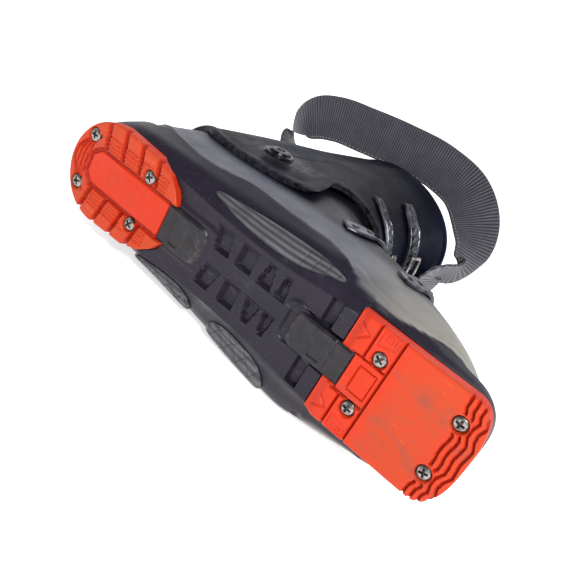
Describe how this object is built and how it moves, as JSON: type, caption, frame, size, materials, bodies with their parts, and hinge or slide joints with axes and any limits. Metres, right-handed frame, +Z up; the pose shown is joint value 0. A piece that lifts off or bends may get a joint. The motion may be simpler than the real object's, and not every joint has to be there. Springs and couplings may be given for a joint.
{
  "type": "ski boot",
  "caption": "Left alpine ski boot lying on its outer side: hollow lower shell, cuff, foam liner and tongue, buckles, loose power strap and lugged soles.",
  "frame": {"origin": "middle of the boot's bounds, on the floor it lies on", "axes": "+X towards the toe, +Y up the leg, +Z up from the floor on which the outer side rests"},
  "size_m": [0.3376, 0.3076, 0.1628],
  "materials": {
    "shell_plastic": "moulded polyurethane, satin, charcoal below and light grey above",
    "cuff_plastic": "moulded polyurethane, satin, near black",
    "sole_rubber": "moulded, orange red, scuffed",
    "grip_rubber": "moulded, finely ribbed, light grey",
    "black_plastic": "moulded, satin",
    "liner_foam": "fabric over foam",
    "insole_felt": "felt",
    "steel": "bright zinc plated",
    "webbing": "woven nylon webbing"
  },
  "bodies": {
    "root": {"lower_shell": "shell_plastic", "heel_sole": "sole_rubber", "toe_sole": "sole_rubber", "heel_tab": "black_plastic", "toe_tab": "black_plastic", "buckle_ankle_bail": "steel", "buckle_ankle_base": "steel", "buckle_ankle_catch": "steel", "buckle_ankle_lever": "black_plastic", "buckle_calf_bail": "steel", "buckle_calf_base": "steel", "buckle_calf_catch": "steel", "buckle_calf_lever": "black_plastic", "buckle_instep_bail": "steel", "buckle_instep_base": "steel", "buckle_instep_catch": "steel", "buckle_instep_lever": "black_plastic", "buckle_toe_bail": "steel", "buckle_toe_base": "steel", "buckle_toe_catch": "steel", "buckle_toe_lever": "black_plastic", "cuff": "cuff_plastic", "cuff_rivet_inner": "steel", "cuff_rivet_outer": "steel", "inner_pad": "grip_rubber", "insole": "insole_felt", "liner": "liner_foam", "outer_pad_front": "grip_rubber", "outer_pad_rear": "grip_rubber", "power_strap": "webbing", "screw_heel_front_inner": "steel", "screw_heel_front_outer": "steel", "screw_heel_rear_inner": "steel", "screw_heel_rear_outer": "steel", "screw_toe_rear_inner": "steel", "screw_toe_rear_outer": "steel", "screw_toe_tip_inner": "steel", "screw_toe_tip_outer": "steel", "tongue": "liner_foam"}
  },
  "joints": []
}
